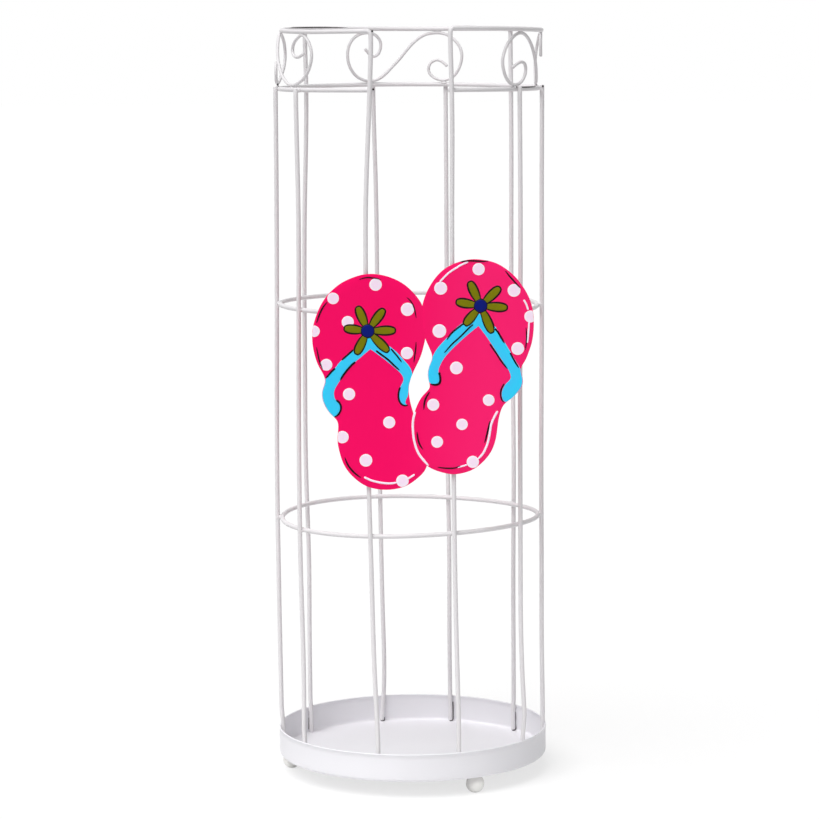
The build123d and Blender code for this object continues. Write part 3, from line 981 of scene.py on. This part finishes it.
# flowers: lengths in mm, the tips are the outer ends of the petals
flowers = {
    "petalWidth": 3.8,
    "petalStart": 1.6,
    "petalLift": 0.46,
    "petalSteps": (26, 9),          # along and across
    "petalFull": 1.4,               # power that moves the widest place outwards
    "petalBlunt": 0.82,             # power of the oval
    "petalShade": (0.75, 0.35),     # at the flower's middle, and at the petal's sides
    "border": 1.0,
    "borderDrop": 0.1,              # mm that the borders lie under the petals
    "centreRadius": 5.6,
    "centreLift": 0.66,
    "ringWidth": 0.8,
    "ringLift": 0.56,
    "around": 40,
    "rings": (0.3, 0.75, 0.93, 1.0),
    "heights": (1.0, 1.0, 0.8, -0.2),
    "shade": (0, 0.5, 2),
    "left": {"middle": (-36, 406), "tips": [(-44.3, 426.6), (-22.2, 424.3), (-12.8, 406.3), (-18.8, 388.5),
                                            (-45.8, 386.5), (-55.6, 408.4)]},
    "right": {"middle": (59.7, 426.6), "tips": [(50.6, 447), (75.9, 442), (82, 424.9), (69.3, 403.8),
                                                (46.3, 410.6), (39.3, 430.2)]},
}


def petal(middle, tip, grow, lift, front):
    # leaf, half its width an oval along its length that is fullest past the middle
    reach = np.array(tip) - middle
    length = np.linalg.norm(reach)
    way = reach / length
    side = np.array([-way[1], way[0]])
    along, across = flowers["petalSteps"]
    s = (0.5 - 0.5 * np.cos(np.linspace(0, np.pi, along)))[:, None, None]
    t = np.linspace(-1, 1, across)[None, :, None]
    oval = np.sqrt(np.maximum(1 - (2 * s ** flowers["petalFull"] - 1) ** 2, 0.0))
    half = (flowers["petalWidth"] + grow) * oval ** flowers["petalBlunt"]
    begin = flowers["petalStart"]
    flat = middle + (begin + s * (length + grow - begin)) * way + t * half * side
    s, t = s[..., 0], t[..., 0]
    inner, outer = flowers["petalShade"]
    height = lift * crowned(t, 1 - s, filmEdge["petalDrop"])
    return film(flat, height, front, False, (), inner * (1 - s) + outer * t ** 2)


def addFlowers():
    # petals over wider black ones, and a disc over a wider black one
    leaves, borders, hearts, rings = [], [], [], []
    lift, radius = flowers["petalLift"], flowers["centreRadius"]
    for side in ("left", "right"):
        front, middle = faces[side], np.array(flowers[side]["middle"])
        for tip in flowers[side]["tips"]:
            leaves.append(petal(middle, tip, 0.0, lift, front))
            borders.append(petal(middle, tip, flowers["border"], lift - flowers["borderDrop"], front))
        hearts.append(disc(middle, radius, flowers, flowers["centreLift"], front))
        rings.append(disc(middle, radius + flowers["ringWidth"], flowers, flowers["ringLift"], front))
    addPiece("petals", leaves, "petal")
    addPiece("petalBorders", borders + rings, "black")
    addPiece("flowerCentres", hearts, "navy")


addFlowers()

# brush lines of three kinds: half width in mm, then the points that each runs through
strokes = {
    "lift": 0.34,
    "steps": 40,
    "across": 7,
    "ends": 0.01,     # share of the length left out at each end
    # "draw": shares of the length over which the start and the end draw in to a point
    "highlight": {
        "paint": "white",
        "draw": (0.06, 0.12),
        "left": [
            (0.98, [(-40.3, 281.1), (-34.3, 278.2), (-27.3, 276.3), (-20.4, 275.4), (-15.2, 275.6),
                    (-12.2, 276.2)]),
            (0.89, [(-3.3, 279), (0.6, 281.4), (2.9, 283)]),
        ],
        "right": [
            (0.89, [(25.1, 446.9), (28.7, 450.8), (33.6, 455.3), (39.5, 459.1), (44.5, 462),
                    (49.6, 463.9)]),
            (0.89, [(96.2, 431.5), (98.6, 427), (99.9, 422.9)]),
            (0.84, [(100.7, 412.4), (100.3, 406), (99.8, 400.4), (99.1, 394.7)]),
            (1.08, [(3.8, 336.9), (2.3, 331.3), (1.6, 325.5), (1.8, 319.7), (2.4, 313.9), (3.9, 307.2),
                    (6.5, 300.8), (10.3, 295.5), (15, 290.2)]),
            (1.03, [(73.9, 337), (71.2, 332.2), (68.8, 326.9), (67.8, 323.1), (67.1, 318.3),
                    (66.2, 313.4), (64.9, 308.6), (63, 303.8), (60.1, 299), (56.8, 295.7)]),
            (0.74, [(39.5, 288.7), (43.3, 289.6), (47.7, 291)]),
        ],
    },
    "accent": {
        "paint": "black",
        "draw": (0.5, 0.5),
        "left": [
            (0.59, [(-43, 449.6), (-39.6, 450.8), (-36.2, 451.4), (-32, 451.1), (-27.7, 450.4),
                    (-24.4, 449.4)]),
            (0.79, [(-79.3, 413.1), (-77.5, 418.2), (-75.3, 423.3), (-72.8, 427.5), (-69.8, 431.1)]),
            (0.69, [(-79.6, 392.7), (-78.4, 386.7), (-77.1, 380.8), (-74.4, 373.2)]),
            (0.64, [(-2.9, 434.3), (0.7, 430.8), (3, 426.5), (4.2, 422.2), (5.2, 416.4)]),
            (0.69, [(4.9, 396.6), (4.6, 391.2), (3.9, 386.1), (2.9, 378.8)]),
            (0.89, [(-56.4, 298.2), (-54.7, 293.3), (-52.1, 288.9), (-48.6, 284.9), (-42.8, 280.4)]),
        ],
        "right": [
            (0.79, [(42.9, 464.2), (48.4, 464.8), (54.4, 464.8), (60.3, 464.4), (66.5, 464.7)]),
            (0.79, [(80.6, 456.2), (84.8, 450.9), (88.8, 446.4), (93.6, 441)]),
            (0.69, [(98, 408), (98.5, 403.2), (98.5, 397.5), (97.9, 391.9), (97.3, 388.6)]),
            (0.84, [(16.2, 353.7), (13, 348.5), (11.5, 343.7), (11, 338.3)]),
            (0.84, [(5.2, 319.5), (5.9, 313.9), (7.4, 308.6), (10.2, 304.2)]),
            (0.89, [(67.3, 328.5), (65.9, 322.1), (64.5, 316.3), (62.6, 309.4)]),
            (0.69, [(22.3, 289), (27.9, 288.2), (33.2, 287.9), (37.6, 288.3), (42.2, 290.1)]),
        ],
    },
    "outline": {
        "paint": "black",
        "draw": (0.08, 0.3),
        "left": [
            (0.89, [(-48.3, 390.1), (-52.3, 386.5), (-55.2, 384), (-58.3, 381.2)]),
            (0.89, [(-63.8, 374.3), (-66.6, 371.9), (-69.1, 369), (-71.8, 366.1)]),
            (1.03, [(-46.5, 379.7), (-49.6, 377.4), (-52.4, 374.3), (-55.3, 370.9), (-57.5, 367.8),
                    (-59.8, 363.9)]),
            (0.94, [(-63.4, 347.3), (-60.3, 344.5), (-59.2, 341.1), (-59.9, 337.6), (-61.8, 334.7),
                    (-65.1, 332.7)]),
            (0.98, [(-29.4, 389.4), (-25.7, 386.6), (-21.5, 383.5), (-17.9, 380.5), (-14, 376.6),
                    (-9.1, 372.2)]),
            (0.84, [(-16.6, 390.8), (-13.9, 387.7), (-11.1, 384.2), (-7.2, 379)]),
            (0.89, [(-8.7, 358), (-10.1, 353.7), (-10.4, 349.7), (-9.6, 345.8), (-7.4, 343),
                    (-5.1, 342.1), (-2.2, 342.4)]),
        ],
        "right": [
            (0.84, [(45.2, 411.7), (41.6, 409), (37.7, 406), (33.7, 402), (30.9, 397.8)]),
            (0.84, [(53.7, 411.1), (50, 408.1), (46.6, 404.7), (43.2, 401.4), (39.3, 397.8),
                    (35.3, 394.2), (31.9, 390.5), (28.5, 386.7)]),
            (1.08, [(24.2, 370.4), (25, 366.9), (25.3, 363.5), (24.4, 361), (22.4, 359.9), (19.9, 359.7),
                    (17, 360.5)]),
            (0.79, [(67.3, 394.1), (70.3, 389.8), (73.2, 385.5), (75.9, 381), (78.7, 377.2),
                    (82.5, 372.5)]),
            (0.94, [(71.6, 407.3), (74.3, 404), (76.6, 400), (79.9, 394.5)]),
            (0.84, [(84.5, 386.6), (86.7, 382.3), (88.9, 378.3), (92, 373.4)]),
            (0.74, [(79.5, 360.2), (77.3, 356.2), (76.4, 352.2), (76.8, 348.2), (77.9, 345.6),
                    (79.7, 344.2)]),
        ],
    },
}


def brushLine(width, points, draw, front):
    # band along a smooth line, its half width drawn in along a quarter ellipse at each end
    line = spline(points, strokes["steps"], False)
    ahead = np.gradient(line, axis=0)
    across = unit(np.stack([-ahead[:, 1], ahead[:, 0]], 1))
    s = np.linspace(strokes["ends"], 1 - strokes["ends"], strokes["steps"])[:, None]
    blunt = np.minimum(s / draw[0], 1) * np.minimum((1 - s) / draw[1], 1)
    half = width * np.sqrt(1 - (1 - blunt) ** 2)
    return band(line - half * across, line + half * across, strokes["lift"], front, strokes["across"])


def addStrokes():
    # all the lines of one paint are one piece
    every = [strokes[name] for name in ("highlight", "accent", "outline")]
    for paint in ("white", "black"):
        kinds = [kind for kind in every if kind["paint"] == paint]
        shells = [brushLine(*line, kind["draw"], faces[side])
                  for kind in kinds for side in ("left", "right") for line in kind[side]]
        addPiece(paint + "Strokes", shells, paint)


addStrokes()
print("panel made")

# floor, sky and suns: the suns' directions point to where their light comes from, their angles are in radians
stage = {
    "floorSize": 40.0,     # metres
    "floorSeen": linear(255, 255, 255),
    "floorNear": linear(244, 244, 244),     # what other rays meet near the stand, as on a white table
    "floorFar": linear(190, 190, 190),      # and further off
    "tableEdge": (0.3, 1.2),                # metres from the stand between which the table gives way
    "floorGlow": 0.7,                       # share of plain white that the camera meets, to soften the shadow
    "floorWhite": 1.0,
    "floorRoughness": 0.95,
    "skyLight": 0.22,
    "suns": {
        "keySun": {"from": (-0.32, -0.4, 0.86), "angle": 0.9, "power": 3.05},
        "fillSun": {"from": (0.55, -0.8, 0.2), "angle": 0.8, "power": 0.3},
    },
}


def plainlySeen(tools):
    # one for a ray from the camera, from a reflection or through something clear, otherwise nought
    straight, mirrored, through = (tools.node("ShaderNodeLightPath", {}, {}, "Is %s Ray" % way)
                                   for way in ("Camera", "Glossy", "Transmission"))
    either = tools.node("ShaderNodeMath", {"operation": "MAXIMUM"}, {0: straight, 1: mirrored})
    return tools.node("ShaderNodeMath", {"operation": "MAXIMUM"}, {0: either, 1: through})


def addFloor():
    # flat square, plain white to the camera under the shadow and a table of two tones to other rays
    side = stage["floorSize"] / 2
    corners = [(-side, -side, 0), (side, -side, 0), (side, side, 0), (-side, side, 0)]
    mesh = bpy.data.meshes.new("floor")
    mesh.from_pydata(corners, [], [(0, 1, 2, 3)])
    floor = bpy.data.objects.new("floor", mesh)
    bpy.context.collection.objects.link(floor)
    material, tools = newTree("floorPaint")
    seen = plainlySeen(tools)
    coords = tools.node("ShaderNodeTexCoord", {}, {}, "Object")
    away = tools.node("ShaderNodeVectorMath", {"operation": "LENGTH"}, {0: coords}, "Value")
    bounce = blendColour(tools, eased(tools, away, stage["tableEdge"]), stage["floorNear"], stage["floorFar"])
    surface = tools.node("ShaderNodeBsdfPrincipled", {}, {
        "Base Color": blendColour(tools, seen, bounce, stage["floorSeen"]),
        "Roughness": stage["floorRoughness"],
        "Specular IOR Level": 0.0,
    })
    glow = tools.node("ShaderNodeEmission", {}, {
        "Color": stage["floorSeen"],
        "Strength": stage["floorWhite"],
    })
    mixed = tools.node("ShaderNodeMixShader", {}, {0: seen * stage["floorGlow"], 1: surface, 2: glow})
    tools.node("ShaderNodeOutputMaterial", {}, {"Surface": mixed})
    mesh.materials.append(material)


def addSuns():
    # each turned so that its light comes from its own direction
    for name, sun in stage["suns"].items():
        data = bpy.data.lights.new(name, "SUN")
        data.angle = sun["angle"]
        data.energy = sun["power"]
        holder = bpy.data.objects.new(name, data)
        holder.rotation_euler = Vector(sun["from"]).to_track_quat("Z", "Y").to_euler()
        bpy.context.collection.objects.link(holder)


def addSky():
    # white to the camera, and its own strength as light
    world = bpy.data.worlds.new("studio")
    world.use_nodes = True
    world.node_tree.nodes.clear()
    tools = Signal(world.node_tree)
    seen = plainlySeen(tools)
    strength = seen + (1 - seen) * stage["skyLight"]
    glow = tools.node("ShaderNodeBackground", {}, {"Color": stage["floorSeen"], "Strength": strength})
    tools.node("ShaderNodeOutputWorld", {}, {"Surface": glow})
    bpy.context.scene.world = world


addFloor()
addSuns()
addSky()
bpy.context.scene.view_settings.view_transform = "Standard"
print("stage made")
